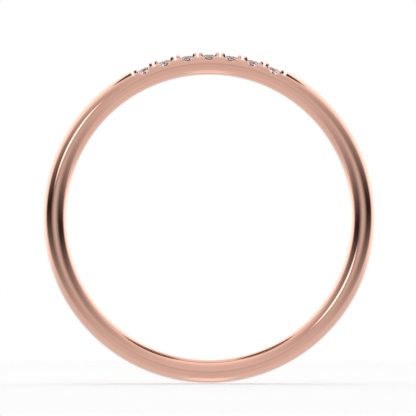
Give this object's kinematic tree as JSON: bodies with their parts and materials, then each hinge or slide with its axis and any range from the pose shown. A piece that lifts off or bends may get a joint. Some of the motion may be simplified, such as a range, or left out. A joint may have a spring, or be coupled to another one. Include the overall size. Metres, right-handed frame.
{
  "type": "wedding band",
  "caption": "Slim comfort-fit finger ring with a short row of round brilliants held by scalloped, saw-cut claws across the top.",
  "frame": {"origin": "centre of the finger hole, midway between the front and back faces", "axes": "+Y runs along the finger hole from the front face to the back face; +Z points to the middle stone of the row; +X is to the right seen from the front"},
  "size_m": [0.0198, 0.0016, 0.0197],
  "materials": {
    "rose_gold": "polished",
    "diamond": "polished facets"
  },
  "bodies": {
    "root": {"band": "rose_gold", "diamond_1": "diamond", "diamond_2": "diamond", "diamond_3": "diamond", "diamond_4": "diamond", "diamond_5": "diamond", "diamond_6": "diamond", "diamond_7": "diamond"}
  },
  "joints": []
}
